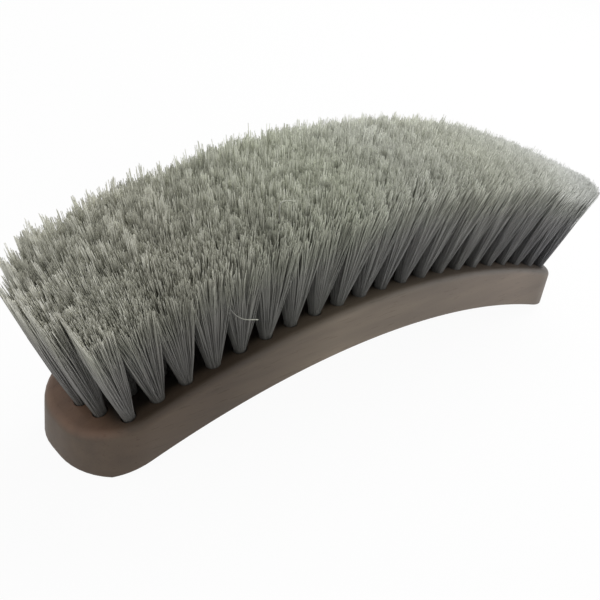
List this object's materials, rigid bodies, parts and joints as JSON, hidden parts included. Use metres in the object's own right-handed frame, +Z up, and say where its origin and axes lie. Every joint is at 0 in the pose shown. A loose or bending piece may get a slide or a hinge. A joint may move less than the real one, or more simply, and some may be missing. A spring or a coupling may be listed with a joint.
{
  "type": "shoe shine brush",
  "caption": "Hand brush for polishing shoes: a long arched wooden block with rounded ends and a full head of fanned light grey bristle tufts set in crosswise rows.",
  "frame": {"origin": "on the surface that the block's two feet stand on, midway between them", "axes": "+X along the brush, +Y across it, +Z up through the bristles"},
  "size_m": [0.2012, 0.0452, 0.0661],
  "materials": {
    "stained_wood": "thin matt grey-brown stain over close-grained hardwood",
    "natural_bristle": "dry light grey hair with a faint green-yellow cast, darker at the roots"
  },
  "bodies": {
    "root": {"wood_block": "stained_wood", "bristle_row_01": "natural_bristle", "bristle_row_02": "natural_bristle", "bristle_row_03": "natural_bristle", "bristle_row_04": "natural_bristle", "bristle_row_05": "natural_bristle", "bristle_row_06": "natural_bristle", "bristle_row_07": "natural_bristle", "bristle_row_08": "natural_bristle", "bristle_row_09": "natural_bristle", "bristle_row_10": "natural_bristle", "bristle_row_11": "natural_bristle", "bristle_row_12": "natural_bristle", "bristle_row_13": "natural_bristle", "bristle_row_14": "natural_bristle", "bristle_row_15": "natural_bristle", "bristle_row_16": "natural_bristle", "bristle_row_17": "natural_bristle", "bristle_row_18": "natural_bristle", "bristle_row_19": "natural_bristle", "bristle_row_20": "natural_bristle", "bristle_row_21": "natural_bristle"}
  },
  "joints": []
}
